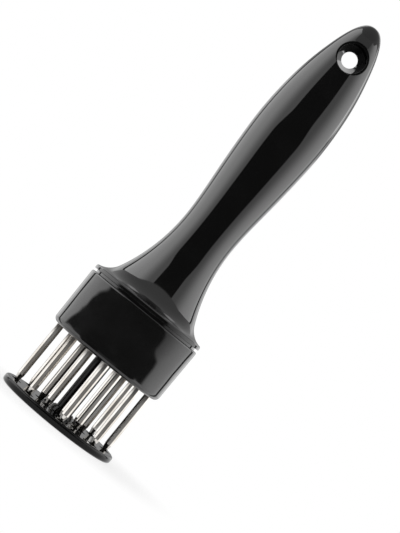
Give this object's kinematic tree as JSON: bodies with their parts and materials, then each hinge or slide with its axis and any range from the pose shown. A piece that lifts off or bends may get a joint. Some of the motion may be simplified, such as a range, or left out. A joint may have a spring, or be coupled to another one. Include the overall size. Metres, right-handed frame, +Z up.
{
  "type": "needle meat tenderizer",
  "caption": "Upright meat tenderizer with a waisted handle, a round cup of faceted steel needles and a spring-loaded guard disc.",
  "frame": {"origin": "centre of the underside of the guard disc, where the tool stands", "axes": "+Z up along the handle to its tip, Y along the hanging hole, X across the wide side of the grip"},
  "size_m": [0.055, 0.055, 0.2054],
  "materials": {
    "black_plastic": "glossy moulded black",
    "needle_steel": "polished stainless, lengthwise grain",
    "spring_steel": "drawn spring wire",
    "screw_steel": "plain zinc-bright fasteners"
  },
  "bodies": {
    "handle": {"handle": "black_plastic", "return_spring": "spring_steel"},
    "head": {"cup": "black_plastic", "needle_retainer": "black_plastic", "retainer_screws": "screw_steel", "outer_needle_1": "needle_steel", "outer_needle_2": "needle_steel", "outer_needle_3": "needle_steel", "outer_needle_4": "needle_steel", "outer_needle_5": "needle_steel", "outer_needle_6": "needle_steel", "outer_needle_7": "needle_steel", "outer_needle_8": "needle_steel", "inner_needle_1": "needle_steel", "inner_needle_2": "needle_steel", "inner_needle_3": "needle_steel", "inner_needle_4": "needle_steel", "inner_needle_5": "needle_steel", "inner_needle_6": "needle_steel", "inner_needle_7": "needle_steel", "inner_needle_8": "needle_steel"},
    "guard": {"guard_disc": "black_plastic", "guard_post": "black_plastic", "disc_screw": "screw_steel", "stop_washer": "screw_steel", "stop_screw": "screw_steel"}
  },
  "joints": [
    {"name": "bayonet_twist", "type": "hinge", "parent": "handle", "child": "head", "pos_m": [0, 0, 0.05], "axis": [0, 0, 1], "range_deg": [0, 30]},
    {"name": "guard_slide", "type": "slide", "parent": "head", "child": "guard", "axis": [0, 0, 1], "range_m": [0, 0.025], "stiffness_N_per_m": 300, "springref_m": -0.02, "deforming": ["return_spring"]}
  ]
}
